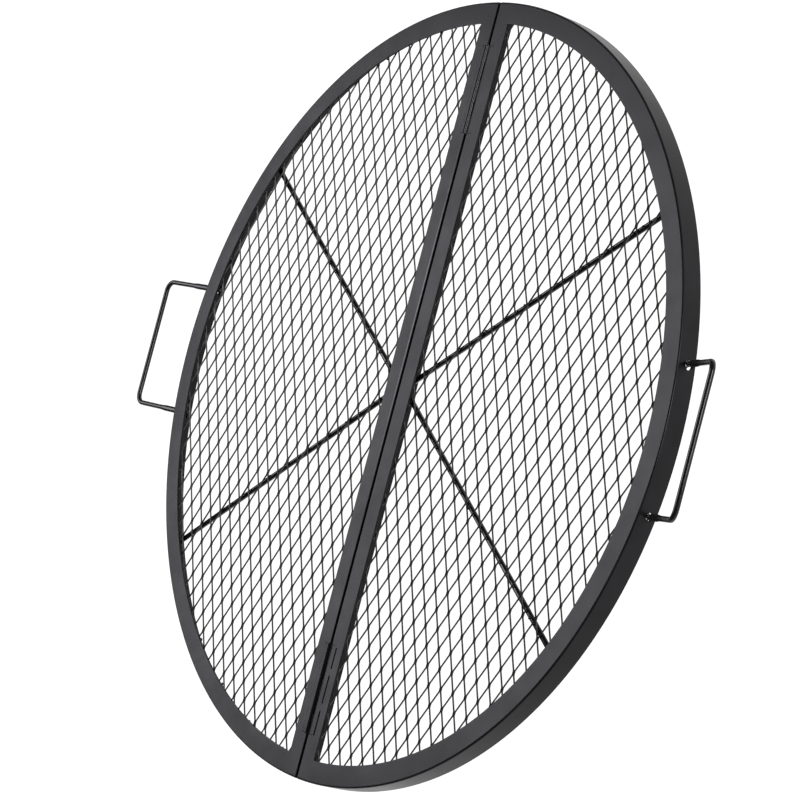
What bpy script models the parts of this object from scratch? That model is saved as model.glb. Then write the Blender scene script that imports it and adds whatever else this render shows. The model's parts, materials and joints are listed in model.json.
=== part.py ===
"""Folding round grate for a fire pit: two half frames of angle iron with expanded
metal panels, brace rods, two butt hinges and two loose wire handles.

Metres, +Z up, lying as it is used. The origin is the centre of the disc on the
plane that the grate rests on, the seam between the halves runs along Y, and the
right half (+X) folds up and over the left half.
"""

import math

import bmesh
import bpy
from mathutils import Matrix, Vector

MM = 0.001

# Frame
DISC_RADIUS = 457.2 * MM
ANGLE_SIDE = 25.4 * MM
BAR_ANGLE_SIDE = 22.2 * MM
ANGLE_THICKNESS = 3.0 * MM
RIM_HEEL_RADIUS = 1.2 * MM
BAR_HEEL_RADIUS = 0.6 * MM
RIM_HEEL_STEPS = 3
BAR_HEEL_STEPS = 1
HALF_SEAM = 2.6 * MM
RIM_STEPS = 56
FIT_GAP = 0.3 * MM
FRAME_TOP = ANGLE_SIDE
FLANGE_UNDERSIDE = ANGLE_SIDE - ANGLE_THICKNESS
FLANGE_EDGE_RADIUS = DISC_RADIUS - ANGLE_SIDE
WALL_INNER_RADIUS = DISC_RADIUS - ANGLE_THICKNESS
BAR_FLANGE_HALF_LENGTH = FLANGE_EDGE_RADIUS - 1.2 * MM
BAR_LEG_HALF_LENGTH = WALL_INNER_RADIUS - 0.6 * MM

# Expanded metal panels, drawn with one gap for every few real ones
MESH_SHORT_WAY = 22.03 * MM
MESH_LONG_WAY = 40.6 * MM
MESH_COARSENESS = 2.3
MESH_STRAND = 4.6 * MM
MESH_THICKNESS = 3.2 * MM
MESH_TOP = FLANGE_UNDERSIDE - FIT_GAP
MESH_RADIUS = 438.0 * MM
MESH_BORDER = 5.0 * MM
MESH_TURN = {"left": math.radians(-0.2), "right": math.radians(-0.7)}
MESH_ARC_STEPS = 40
SMALLEST_GAP_SHARE = 0.12

# Brace rods, welded under the panels in a flat X
ROD_DIAMETER = 6.4 * MM
ROD_SIDES = 12
BRACE_HEIGHT = MESH_TOP - MESH_THICKNESS - FIT_GAP - ROD_DIAMETER / 2
BRACE_OUTER_RADIUS = WALL_INNER_RADIUS - 2 * FIT_GAP
BRACE_CROSSING = {"left": (-9.6 * MM, 2.8 * MM), "right": (-1.6 * MM, 1.4 * MM)}
BRACE_ANGLE = {
    "left_rear": math.radians(33.4),
    "left_front": math.radians(33.6),
    "right_rear": math.radians(32.3),
    "right_front": math.radians(33.6),
}
BRACE_INNER_END = {
    "left_rear": 7.9 * MM,
    "left_front": 14.2 * MM,
    "right_rear": 7.9 * MM,
    "right_front": 7.9 * MM,
}

# Butt hinges, let into notches in the bars' flanges
HINGE_CENTRE = 352.7 * MM
HINGE_AXIS_HEIGHT = FRAME_TOP + 0.7 * MM
HINGE_LENGTH = 103.4 * MM
KNUCKLES = 5
KNUCKLE_GAP = 0.4 * MM
BARREL_RADIUS = 2.9 * MM
BARREL_SIDES = 16
BORE_RADIUS = 1.5 * MM
PIN_RADIUS = 1.4 * MM
PIN_HEAD_RADIUS = 2.3 * MM
PIN_HEAD_THICKNESS = 1.0 * MM
LEAF_WIDTH = 10.9 * MM
LEAF_THICKNESS = 2.0 * MM
LEAF_BOTTOM = HINGE_AXIS_HEIGHT - BARREL_RADIUS
LEAF_PLATE_START = BARREL_RADIUS + 0.4 * MM
NOTCH_LENGTH = HINGE_LENGTH + 2 * (2 * FIT_GAP + PIN_HEAD_THICKNESS)
LEAF_SIDE_GAP = {
    "rear_left": FIT_GAP,
    "front_left": FIT_GAP,
    "rear_right": 1.0 * MM,
    "front_right": 2.4 * MM,
}
TACK_LENGTH = 6.0 * MM
TACK_PLACES = (-48.7 * MM, -18.3 * MM, 18.3 * MM, 48.7 * MM)

# Handles: a bent rod whose two arms hang loose in holes of the rim's wall
HANDLE_HALF_WIDTH = 80.4 * MM
HANDLE_HEIGHT = 9.6 * MM
HANDLE_REACH = 109.0 * MM
HANDLE_BEND_RADIUS = 12.0 * MM
HANDLE_BEND_STEPS = 6
HANDLE_HOLE_RADIUS = 6.2 * MM
HANDLE_HOLE_HEIGHT = 10.2 * MM
HANDLE_HOLE_HALF_SPACING = 79.8 * MM
HANDLE_HOLE_SIDES = 24
HANDLE_RAISED = {"left": math.radians(2.0), "right": math.radians(29.1)}
HANDLE_PIVOT_X = (
    math.sqrt(DISC_RADIUS**2 - HANDLE_HALF_WIDTH**2)
    + math.sqrt(WALL_INNER_RADIUS**2 - HANDLE_HALF_WIDTH**2)
) / 2
EAR_HALF_WIDTH = 6.6 * MM
EAR_HALF_THICKNESS = 1.2 * MM
ROUND = (ROD_DIAMETER / 2, ROD_DIAMETER / 2)
INNER_EAR = (EAR_HALF_WIDTH, EAR_HALF_THICKNESS)
OUTER_EAR = (EAR_HALF_THICKNESS, EAR_HALF_WIDTH)
# Distance along an arm from the wall, with the rod's half sizes across and up there
HANDLE_ARM = (
    (-11.0 * MM, ROUND),
    (-10.6 * MM, ROUND),
    (-8.9 * MM, INNER_EAR),
    (-6.4 * MM, INNER_EAR),
    (-4.6 * MM, ROUND),
    (4.6 * MM, ROUND),
    (6.6 * MM, OUTER_EAR),
    (9.6 * MM, OUTER_EAR),
    (12.0 * MM, ROUND),
)

# Names of the halves and of the two ends of the seam, with their sides
HALVES = {"left": -1, "right": 1}
SEAM_ENDS = {"rear": 1, "front": -1}

COAT_COLOUR = (0.040, 0.039, 0.041, 1.0)
MESH_COLOUR = (0.030, 0.028, 0.027, 1.0)
BARREL_COLOUR = (0.055, 0.054, 0.056, 1.0)


def clear_scene():
    for old in list(bpy.data.objects):
        bpy.data.objects.remove(old)


def make_material(name, colour, roughness, metallic):
    material = bpy.data.materials.new(name)
    material.use_nodes = True
    shader = material.node_tree.nodes["Principled BSDF"]
    shader.inputs["Base Color"].default_value = colour
    shader.inputs["Roughness"].default_value = roughness
    shader.inputs["Metallic"].default_value = metallic
    material.diffuse_color = colour
    return material


def make_object(name, shape, material=None):
    """Turns a bmesh into an object in the scene, with its faces pointing out."""
    bmesh.ops.recalc_face_normals(shape, faces=shape.faces)
    mesh = bpy.data.meshes.new(name)
    shape.to_mesh(mesh)
    shape.free()
    mesh.shade_smooth()
    mesh.set_sharp_from_angle(angle=math.radians(35))
    obj = bpy.data.objects.new(name, mesh)
    if material:
        mesh.materials.append(material)
    bpy.context.scene.collection.objects.link(obj)
    return obj


def make_helper(name, shape):
    helper = make_object(name, shape)
    helper.hide_render = True
    helper.display_type = "WIRE"
    return helper


def combine(obj, helper, operation):
    modifier = obj.modifiers.new(operation.title(), "BOOLEAN")
    modifier.operation = operation
    modifier.solver = "EXACT"
    modifier.object = helper


def add_box(shape, low, high):
    low, high = Vector(low), Vector(high)
    size = Matrix.Diagonal((high - low)).to_4x4()
    bmesh.ops.create_cube(shape, size=1.0, matrix=Matrix.Translation((low + high) / 2) @ size)


def add_cylinder(shape, radius, length, sides, matrix):
    bmesh.ops.create_cone(
        shape, cap_ends=True, segments=sides, radius1=radius, radius2=radius, depth=length, matrix=matrix
    )


def along_y(centre):
    return Matrix.Translation(centre) @ Matrix.Rotation(math.pi / 2, 4, "X")


def along_x(centre):
    return Matrix.Translation(centre) @ Matrix.Rotation(math.pi / 2, 4, "Y")


def angle_section(side_length, heel_radius, heel_steps):
    """Outline of an angle iron as (distance from the heel's face, height)."""
    points = [(0.0, FRAME_TOP - side_length)]
    for step in range(heel_steps + 1):
        turn = math.pi - step * math.pi / 2 / heel_steps
        points.append(
            (
                heel_radius + heel_radius * math.cos(turn),
                FRAME_TOP - heel_radius + heel_radius * math.sin(turn),
            )
        )
    points += [
        (side_length, FRAME_TOP),
        (side_length, FLANGE_UNDERSIDE),
        (ANGLE_THICKNESS, FLANGE_UNDERSIDE),
        (ANGLE_THICKNESS, FRAME_TOP - side_length),
    ]
    return points


def handle_hole_cutter(half, side):
    shape = bmesh.new()
    for across in (-1, 1):
        centre = (side * HANDLE_PIVOT_X, across * HANDLE_HOLE_HALF_SPACING, HANDLE_HOLE_HEIGHT)
        add_cylinder(shape, HANDLE_HOLE_RADIUS, ANGLE_SIDE, HANDLE_HOLE_SIDES, along_x(centre))
    return make_helper(f"{half}_handle_hole_cutter", shape)


def make_rim(half, side, material):
    """Half ring of angle iron: flange on top pointing in, wall outside."""
    shape = bmesh.new()
    cut_back = math.asin(HALF_SEAM / (DISC_RADIUS - ANGLE_SIDE / 2))
    start = -math.pi / 2 + cut_back if side > 0 else math.pi / 2 + cut_back
    corners = []
    for inset, height in angle_section(ANGLE_SIDE, RIM_HEEL_RADIUS, RIM_HEEL_STEPS):
        radius = DISC_RADIUS - inset
        corners.append(shape.verts.new((radius * math.cos(start), radius * math.sin(start), height)))
    section = shape.faces.new(corners)
    bmesh.ops.spin(
        shape,
        geom=[section],
        cent=(0, 0, 0),
        axis=(0, 0, 1),
        angle=math.pi - 2 * cut_back,
        steps=RIM_STEPS,
    )
    rim = make_object(f"{half}_rim", shape, material)
    combine(rim, handle_hole_cutter(half, side), "DIFFERENCE")
    return rim


def bar_cutter(half, side):
    """Takes the flange off the bar's ends and sinks a notch for each hinge leaf."""
    shape = bmesh.new()
    reach = side * 2 * ANGLE_SIDE
    for end_name, end in SEAM_ENDS.items():
        ys = sorted((end * BAR_FLANGE_HALF_LENGTH, end * DISC_RADIUS))
        xs = sorted((0.0, reach))
        add_box(shape, (xs[0], ys[0], FLANGE_UNDERSIDE - FIT_GAP), (xs[1], ys[1], 2 * FRAME_TOP))
        xs = sorted((0.0, side * (LEAF_WIDTH + LEAF_SIDE_GAP[f"{end_name}_{half}"])))
        ys = (end * HINGE_CENTRE - NOTCH_LENGTH / 2, end * HINGE_CENTRE + NOTCH_LENGTH / 2)
        add_box(shape, (xs[0], ys[0], FLANGE_UNDERSIDE), (xs[1], ys[1], 2 * FRAME_TOP))
    return make_helper(f"{half}_bar_cutter", shape)


def make_centre_bar(half, side, material):
    shape = bmesh.new()
    corners = []
    for inset, height in angle_section(BAR_ANGLE_SIDE, BAR_HEEL_RADIUS, BAR_HEEL_STEPS):
        corners.append(shape.verts.new((side * (HALF_SEAM + inset), -BAR_LEG_HALF_LENGTH, height)))
    section = shape.faces.new(corners)
    grown = bmesh.ops.extrude_face_region(shape, geom=[section])
    moved = [item for item in grown["geom"] if isinstance(item, bmesh.types.BMVert)]
    bmesh.ops.translate(shape, verts=moved, vec=(0, 2 * BAR_LEG_HALF_LENGTH, 0))
    bar = make_object(f"{half}_centre_bar", shape, material)
    combine(bar, bar_cutter(half, side), "DIFFERENCE")
    return bar


def half_disc(side, radius, inner):
    """Outline of a half panel, anticlockwise seen from above."""
    reach = math.acos(inner / radius)
    middle = 0.0 if side > 0 else math.pi
    points = []
    for step in range(MESH_ARC_STEPS + 1):
        turn = middle - reach + 2 * reach * step / MESH_ARC_STEPS
        points.append((radius * math.cos(turn), radius * math.sin(turn)))
    return points


def clipped(polygon, outline):
    """The part of a convex polygon inside a convex anticlockwise outline."""
    for (x0, y0), (x1, y1) in zip(outline, outline[1:] + outline[:1]):
        kept = []
        depths = [(x1 - x0) * (y - y0) - (y1 - y0) * (x - x0) for x, y in polygon]
        for i, (x, y) in enumerate(polygon):
            before = i - 1
            if (depths[i] < 0) != (depths[before] < 0):
                share = depths[before] / (depths[before] - depths[i])
                px, py = polygon[before]
                kept.append((px + share * (x - px), py + share * (y - py)))
            if depths[i] >= 0:
                kept.append((x, y))
        polygon = kept
    return polygon


def area(polygon):
    pairs = zip(polygon, polygon[1:] + polygon[:1])
    return sum(x0 * y1 - x1 * y0 for (x0, y0), (x1, y1) in pairs) / 2


def mesh_gaps(half, side, outline):
    """Diamond gaps of a half panel, cut off where its border runs."""
    half_short = MESH_COARSENESS * MESH_SHORT_WAY / 2
    half_long = MESH_COARSENESS * MESH_LONG_WAY / 2
    to_strand = half_short * half_long / math.hypot(half_short, half_long)
    open_share = 1 - MESH_STRAND / 2 / to_strand
    turn = MESH_TURN[half]
    rows = math.ceil(MESH_RADIUS / half_long) + 1
    columns = math.ceil(MESH_RADIUS / half_short) + 1
    gaps = []
    for row in range(-rows, rows + 1):
        for column in range(-1, columns + 1):
            if (row + column) % 2:
                continue
            x, y = side * (column + 0.5) * half_short, row * half_long
            corners = []
            for across, along in ((1, 0), (0, 1), (-1, 0), (0, -1)):
                px = x + across * half_short * open_share
                py = y + along * half_long * open_share
                corners.append(
                    (px * math.cos(turn) - py * math.sin(turn), px * math.sin(turn) + py * math.cos(turn))
                )
            gap = clipped(corners, outline)
            if len(gap) > 2 and area(gap) > SMALLEST_GAP_SHARE * area(corners):
                gaps.append(gap)
    return gaps


def make_mesh_panel(half, side, material):
    inner = HALF_SEAM + ANGLE_THICKNESS + FIT_GAP
    edge = half_disc(side, MESH_RADIUS, inner)
    opening = half_disc(side, MESH_RADIUS - MESH_BORDER, inner + MESH_BORDER)
    shape = bmesh.new()
    edges = []
    for loop in [edge] + mesh_gaps(half, side, opening):
        verts = [shape.verts.new((x, y, MESH_TOP)) for x, y in loop]
        for first, second in zip(verts, verts[1:] + verts[:1]):
            edges.append(shape.edges.new((first, second)))
    bmesh.ops.triangle_fill(shape, use_beauty=True, use_dissolve=False, edges=edges)
    grown = bmesh.ops.extrude_face_region(shape, geom=shape.faces[:])
    moved = [item for item in grown["geom"] if isinstance(item, bmesh.types.BMVert)]
    bmesh.ops.translate(shape, verts=moved, vec=(0, 0, -MESH_THICKNESS))
    return make_object(f"{half}_mesh_panel", shape, material)


def make_brace_rod(half, side, end_name, end, material):
    """Round rod under a panel, from beside the centre bar out to the rim's wall."""
    name = f"{half}_{end_name}"
    turn = BRACE_ANGLE[name]
    start = Vector((*BRACE_CROSSING[half], BRACE_HEIGHT))
    direction = Vector((side * math.cos(turn), end * math.sin(turn), 0))
    along = start.dot(direction)
    to_wall = -along + math.sqrt(along**2 + BRACE_OUTER_RADIUS**2 - start.x**2 - start.y**2)
    from_leg = (side * BRACE_INNER_END[name] - start.x) / direction.x
    inner, outer = start + from_leg * direction, start + to_wall * direction
    shape = bmesh.new()
    add_cylinder(shape, ROD_DIAMETER / 2, (outer - inner).length, ROD_SIDES, Matrix.Identity(4))
    rod = make_object(f"{name}_brace_rod", shape, material)
    rod.location = (inner + outer) / 2
    rod.rotation_euler = direction.to_track_quat("Z", "X").to_euler()
    return rod


def knuckle_span(index):
    pitch = HINGE_LENGTH / KNUCKLES
    low = -HINGE_LENGTH / 2 + index * pitch
    return low + KNUCKLE_GAP / 2, low + pitch - KNUCKLE_GAP / 2


def make_hinge_leaf(half, side, end_name, end, material):
    """Flat leaf with its own knuckles, its origin on the hinge's axis. A leaf that is
    narrower than its notch reaches the bar's flange by short welds."""
    name = f"{end_name}_hinge_{half}_leaf"
    bottom = LEAF_BOTTOM - HINGE_AXIS_HEIGHT
    top = bottom + LEAF_THICKNESS
    shape = bmesh.new()
    xs = sorted((side * LEAF_PLATE_START, side * LEAF_WIDTH))
    add_box(shape, (xs[0], -HINGE_LENGTH / 2, bottom), (xs[1], HINGE_LENGTH / 2, top))
    leaf = make_object(name, shape, material)
    leaf.location = (0, end * HINGE_CENTRE, HINGE_AXIS_HEIGHT)
    rolled = bmesh.new()
    straps = bmesh.new()
    tacks_end = LEAF_WIDTH + LEAF_SIDE_GAP[f"{end_name}_{half}"] - FIT_GAP
    if tacks_end > LEAF_WIDTH:
        xs = sorted((side * (LEAF_WIDTH - LEAF_THICKNESS), side * tacks_end))
        for place in TACK_PLACES:
            low, high = place - TACK_LENGTH / 2, place + TACK_LENGTH / 2
            add_box(straps, (xs[0], low, bottom + FIT_GAP), (xs[1], high, top - FIT_GAP))
    first = 0 if half == "left" else 1
    for index in range(first, KNUCKLES, 2):
        low, high = knuckle_span(index)
        add_cylinder(rolled, BARREL_RADIUS, high - low, BARREL_SIDES, along_y((0, (low + high) / 2, 0)))
        xs = sorted((0.0, side * (LEAF_PLATE_START + LEAF_THICKNESS)))
        add_box(straps, (xs[0], low, bottom), (xs[1], high, top))
    bore = bmesh.new()
    add_cylinder(bore, BORE_RADIUS, 2 * HINGE_LENGTH, BARREL_SIDES, along_y((0, 0, 0)))
    for label, part, operation in (
        ("straps", straps, "UNION"),
        ("knuckles", rolled, "UNION"),
        ("bore", bore, "DIFFERENCE"),
    ):
        helper = make_helper(f"{name}_{label}_helper", part)
        helper.parent = leaf
        combine(leaf, helper, operation)
    return leaf


def make_hinge_pin(end_name, end, material):
    half_length = HINGE_LENGTH / 2 + FIT_GAP
    head_end = half_length + PIN_HEAD_THICKNESS
    outline = [
        (0, head_end),
        (PIN_HEAD_RADIUS, head_end),
        (PIN_HEAD_RADIUS, half_length),
        (PIN_RADIUS, half_length),
        (PIN_RADIUS, -half_length),
        (PIN_HEAD_RADIUS, -half_length),
        (PIN_HEAD_RADIUS, -head_end),
        (0, -head_end),
    ]
    shape = bmesh.new()
    verts = [shape.verts.new((radius, along, 0)) for radius, along in outline]
    edges = [shape.edges.new(pair) for pair in zip(verts, verts[1:])]
    bmesh.ops.spin(
        shape,
        geom=verts + edges,
        cent=(0, 0, 0),
        axis=(0, 1, 0),
        angle=2 * math.pi,
        steps=BARREL_SIDES,
        use_merge=True,
    )
    bmesh.ops.remove_doubles(shape, verts=shape.verts[:], dist=0.01 * MM)
    pin = make_object(f"{end_name}_hinge_pin", shape, material)
    pin.location = (0, end * HINGE_CENTRE, HINGE_AXIS_HEIGHT)
    return pin


def handle_stations(side):
    """(centre, across, half sizes) from one arm's inner end round to the other's."""
    arm = []
    for distance, sizes in HANDLE_ARM:
        arm.append((Vector((side * distance, -HANDLE_HALF_WIDTH, 0)), Vector((0, 1, 0)), sizes))
    bend = []
    reach = HANDLE_REACH + ANGLE_THICKNESS / 2
    centre = Vector((side * (reach - HANDLE_BEND_RADIUS), -HANDLE_HALF_WIDTH + HANDLE_BEND_RADIUS, 0))
    for step in range(HANDLE_BEND_STEPS + 1):
        turn = step * math.pi / 2 / HANDLE_BEND_STEPS
        outward = Vector((side * math.sin(turn), -math.cos(turn), 0))
        bend.append((centre + HANDLE_BEND_RADIUS * outward, -outward, ROUND))
    near = arm + bend
    far = []
    for middle, across, sizes in reversed(near):
        far.append((Vector((middle.x, -middle.y, 0)), Vector((across.x, -across.y, 0)), sizes))
    return near + far


def make_handle(half, side, material):
    """Rod bent to a U with two pressed ears on each arm, one each side of the wall."""
    shape = bmesh.new()
    rings = []
    for centre, across, (half_across, half_up) in handle_stations(side):
        ring = []
        for step in range(ROD_SIDES):
            turn = 2 * math.pi * (step + 0.5) / ROD_SIDES
            offset = across * half_across * math.cos(turn) + Vector((0, 0, half_up * math.sin(turn)))
            ring.append(shape.verts.new(centre + offset))
        rings.append(ring)
    for ring, following in zip(rings, rings[1:]):
        for step in range(ROD_SIDES):
            after = (step + 1) % ROD_SIDES
            shape.faces.new((ring[step], ring[after], following[after], following[step]))
    shape.faces.new(rings[0])
    shape.faces.new(rings[-1])
    handle = make_object(f"{half}_handle", shape, material)
    handle.location = (side * HANDLE_PIVOT_X, 0, HANDLE_HEIGHT)
    handle.rotation_euler = (0, -side * HANDLE_RAISED[half], 0)
    return handle


def main():
    clear_scene()
    coat = make_material("black_powder_coat", COAT_COLOUR, 0.45, 0.0)
    mesh_coat = make_material("mesh_powder_coat", MESH_COLOUR, 0.5, 0.0)
    rod_coat = make_material("rod_powder_coat", COAT_COLOUR, 0.35, 0.0)
    hinge_coat = make_material("hinge_powder_coat", BARREL_COLOUR, 0.35, 0.2)
    for half, side in HALVES.items():
        make_rim(half, side, coat)
        make_centre_bar(half, side, coat)
        make_mesh_panel(half, side, mesh_coat)
        make_handle(half, side, rod_coat)
        for end_name, end in SEAM_ENDS.items():
            make_brace_rod(half, side, end_name, end, rod_coat)
            make_hinge_leaf(half, side, end_name, end, hinge_coat)
    for end_name, end in SEAM_ENDS.items():
        make_hinge_pin(end_name, end, hinge_coat)


main()
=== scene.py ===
# %% [markdown]
# # A folding fire pit grate
# The real object is a black steel grate, 36 inches across, welded up from stock: two half
# rings of rolled angle iron, a straight bar of angle iron along each side of the seam,
# a half disc of expanded metal in each half, two round brace rods under it, two butt
# hinges that let the right half fold over the left, and a wire handle on each side.
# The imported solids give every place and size. This script makes the surfaces that the
# eye sees around them: rolled edges, the true pitch of the expanded metal, weld tacks,
# pressed handle ears and the satin powder coat.

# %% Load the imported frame
import json
import math
import random

import bmesh
import bpy
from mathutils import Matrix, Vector


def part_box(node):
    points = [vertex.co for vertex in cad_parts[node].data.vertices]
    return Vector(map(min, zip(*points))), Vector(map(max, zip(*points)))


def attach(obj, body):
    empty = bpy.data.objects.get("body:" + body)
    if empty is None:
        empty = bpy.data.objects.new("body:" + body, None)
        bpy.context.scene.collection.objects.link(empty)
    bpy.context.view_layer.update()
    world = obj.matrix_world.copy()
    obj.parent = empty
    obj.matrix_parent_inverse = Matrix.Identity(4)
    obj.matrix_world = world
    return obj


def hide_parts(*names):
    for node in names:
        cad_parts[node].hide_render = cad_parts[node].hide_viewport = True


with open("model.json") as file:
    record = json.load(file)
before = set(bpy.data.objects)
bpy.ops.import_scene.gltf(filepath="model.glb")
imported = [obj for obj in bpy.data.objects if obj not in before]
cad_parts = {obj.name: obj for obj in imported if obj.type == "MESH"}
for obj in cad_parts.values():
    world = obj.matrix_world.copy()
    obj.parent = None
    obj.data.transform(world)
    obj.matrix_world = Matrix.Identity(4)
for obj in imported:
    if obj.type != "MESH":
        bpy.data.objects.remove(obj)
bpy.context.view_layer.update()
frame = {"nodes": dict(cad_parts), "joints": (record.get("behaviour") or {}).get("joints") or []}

# %% [markdown]
# ## Sizes
# Nothing is measured twice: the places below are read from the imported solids, and the
# few sizes that a solid's box doesn't show are the stock sizes that the maker buys.

# %% Sizes read from the frame
MM = 0.001
SIDES = {"left": -1, "right": 1}
ENDS = ("rear", "front")

rim_low, rim_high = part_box("right_rim")
bar_low, bar_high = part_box("right_centre_bar")
panel_low, panel_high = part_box("right_mesh_panel")
DISC_RADIUS = rim_high.x
TOP = rim_high.z
HALF_SEAM = bar_low.x
BAR_REACH = bar_high.y
joints = {joint["name"]: joint for joint in frame["joints"]}
HINGE_AXIS = Vector(joints["fold"]["pos_m"])
print("disc radius", round(DISC_RADIUS / MM, 1), "mm, top at", round(TOP / MM, 1), "mm")

# %% Stock sizes of the angle iron
RIM_SIDE = rim_high.z - rim_low.z
BAR_SIDE = bar_high.z - bar_low.z
THICKNESS = 3.0 * MM
UNDERSIDE = TOP - THICKNESS
RIM_HEEL_RADIUS = 2.2 * MM
BAR_HEEL_RADIUS = 0.5 * MM
FILLET_RADIUS = 1.4 * MM
TOE_RADIUS = 0.5 * MM
# The real seam is half a millimetre narrower on each side than the solids leave it,
# which keep that much room for folding.
BAR_HEEL_X = HALF_SEAM - 0.5 * MM
print("rim angle", round(RIM_SIDE / MM, 1), "mm, bar angle", round(BAR_SIDE / MM, 1), "mm")

# %% [markdown]
# ## Helpers for modelling
# Each piece is modelled with Blender's own edit-mode operators, so a few helpers take
# care of what a mouse would do: deselect what was left selected, open the new primitive
# in edit mode with its place in its mesh, and pick corners, edges or faces by where
# they are.

# %% Helpers: start, pick and finish a piece
CLOSE = 0.02 * MM
SMOOTH_ANGLE = 32.0
# Without a window, spin and rotate turn the other way round.
WINDOWLESS_TURN = -1


def near(a, b):
    return abs(a - b) < CLOSE


def middle(item):
    """The middle of a corner, an edge or a face."""
    if isinstance(item, bmesh.types.BMFace):
        return item.calc_center_median()
    if isinstance(item, bmesh.types.BMEdge):
        return (item.verts[0].co + item.verts[1].co) / 2
    return item.co


def deselect():
    bpy.ops.object.select_all(action="DESELECT")


def start(name, scale=(1, 1, 1)):
    """Opens the primitive that was just added in edit mode, with its place in its mesh."""
    piece = bpy.context.active_object
    piece.name = name
    piece.data.name = name
    piece.scale = scale
    bpy.ops.object.transform_apply(location=True, rotation=True, scale=True)
    bpy.ops.object.mode_set(mode="EDIT")
    return piece


def pick(kind, test):
    """Selects the corners, edges or faces whose middle passes a test."""
    bpy.ops.mesh.select_mode(type=kind)
    bpy.ops.mesh.select_all(action="DESELECT")
    mesh = bpy.context.edit_object.data
    shape = bmesh.from_edit_mesh(mesh)
    items = {"VERT": shape.verts, "EDGE": shape.edges, "FACE": shape.faces}[kind]
    for item in items:
        if test(middle(item)):
            item.select_set(True)
    shape.select_flush_mode()
    bmesh.update_edit_mesh(mesh)


def extrude(offset):
    bpy.ops.mesh.extrude_region_move(TRANSFORM_OT_translate={"value": offset})


def spin(steps, angle, centre):
    """Spins what is selected round a vertical axis, anticlockwise seen from above."""
    bpy.ops.mesh.spin(steps=steps, angle=WINDOWLESS_TURN * angle, center=centre, axis=(0, 0, 1))


def shade_smooth(degrees):
    """Shades the active piece smooth where its faces meet at less than this angle."""
    bpy.ops.object.shade_smooth_by_angle(angle=math.radians(degrees))


def close_up(piece, smooth_angle=SMOOTH_ANGLE):
    """Turns the faces outwards, leaves edit mode and shades round faces smooth."""
    bpy.ops.mesh.select_all(action="SELECT")
    bpy.ops.mesh.normals_make_consistent(inside=False)
    bpy.ops.object.mode_set(mode="OBJECT")
    shade_smooth(smooth_angle)
    return piece


def make_active(piece):
    deselect()
    piece.select_set(True)
    bpy.context.view_layer.objects.active = piece


def flatten_shading(piece):
    """Lets the large faces rule the shading, so a rolled edge doesn't bend the light on a flat."""
    make_active(piece)
    modifier = piece.modifiers.new("Weighted normals", "WEIGHTED_NORMAL")
    modifier.keep_sharp = True
    bpy.ops.object.modifier_apply(modifier=modifier.name)


def coat(piece, *finishes):
    """Gives the piece its finishes, in place of any that came with a joined mesh."""
    piece.data.materials.clear()
    for finish in finishes:
        piece.data.materials.append(finish)


# %% Helpers: add, cut and join whole pieces
def combine(piece, other, operation, solver="EXACT"):
    """Joins another mesh to the piece, or cuts it away, and removes that other mesh."""
    make_active(piece)
    modifier = piece.modifiers.new(operation.title(), "BOOLEAN")
    modifier.operation = operation
    modifier.solver = solver
    modifier.object = other
    bpy.ops.object.modifier_apply(modifier=modifier.name)
    bpy.data.objects.remove(other)


def add_block(name, low, high):
    """A box between two corners, left in object mode."""
    deselect()
    low = Vector(low)
    high = Vector(high)
    bpy.ops.mesh.primitive_cube_add(size=1, location=(low + high) / 2)
    piece = start(name, [abs(size) for size in high - low])
    bpy.ops.object.mode_set(mode="OBJECT")
    return piece


def join(name, pieces):
    make_active(pieces[0])
    for piece in pieces:
        piece.select_set(True)
    bpy.ops.object.join()
    joined = bpy.context.active_object
    joined.name = name
    joined.data.name = name
    return joined


# %% [markdown]
# ## Camera
# The photograph was taken from the right, about 36 degrees above the grate, through a
# long lens, with the camera rolled so that the seam leans to the right. The place and
# the turn were found by matching the outline of the disc, the seam and the rim's depth.

# %% Add the camera
CAMERA_PLACE = (2.6485, -0.1655, 1.9774)
CAMERA_TURN = (21.256, 50.409, 23.491)
CAMERA_LENS = 130.36
CAMERA_SENSOR = 36.0
CAMERA_REACH = 200.0

camera_data = bpy.data.cameras.new("camera")
camera_data.lens = CAMERA_LENS
camera_data.sensor_width = CAMERA_SENSOR
camera_data.clip_end = CAMERA_REACH
camera = bpy.data.objects.new("camera", camera_data)
camera.location = CAMERA_PLACE
camera.rotation_euler = [math.radians(angle) for angle in CAMERA_TURN]
bpy.context.scene.collection.objects.link(camera)
bpy.context.scene.camera = camera
print("camera at", CAMERA_PLACE, "with a", CAMERA_LENS, "mm lens")


# %% [markdown]
# ## Nodes and colours
# A material's colours are written as the sRGB hex values that a colour picker shows, and
# one function turns them to the linear values that the shader works with. A second
# function adds a node, sets it up and links it in one go.

# %% Helpers: colours and nodes
def colour(hex_code):
    """An sRGB hex colour as linear red, green, blue and alpha."""
    channels = [int(hex_code[i : i + 2], 16) / 255 for i in (1, 3, 5)]
    linear = [c / 12.92 if c <= 0.04045 else ((c + 0.055) / 1.055) ** 2.4 for c in channels]
    return (*linear, 1.0)


def add_node(tree, kind, inputs, **settings):
    """Adds a node with its settings. An input that is another node's socket gets linked."""
    node = tree.nodes.new(kind)
    for name, value in settings.items():
        setattr(node, name, value)
    for name, value in inputs.items():
        if isinstance(value, bpy.types.NodeSocket):
            tree.links.new(value, node.inputs[name])
        else:
            node.inputs[name].default_value = value
    return node


# %% [markdown]
# ## Floor and light
# The grate is shown over a white light table, which keeps the floor bright between the
# strands, as in the photograph. The table is set low enough for a half or a handle to
# hang down at its joint's limit without sinking into it. Black paint takes its tone from
# what it mirrors. A broad, slightly cool softbox stands opposite the camera, and the flat
# tops of the angle iron mirror it. The rounder strands mirror a smaller one overhead, and
# a strip far on the right gives the rods and the rear hinge a thin bright line. The dim
# room is what the rest mirrors, so it stays darker.

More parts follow.
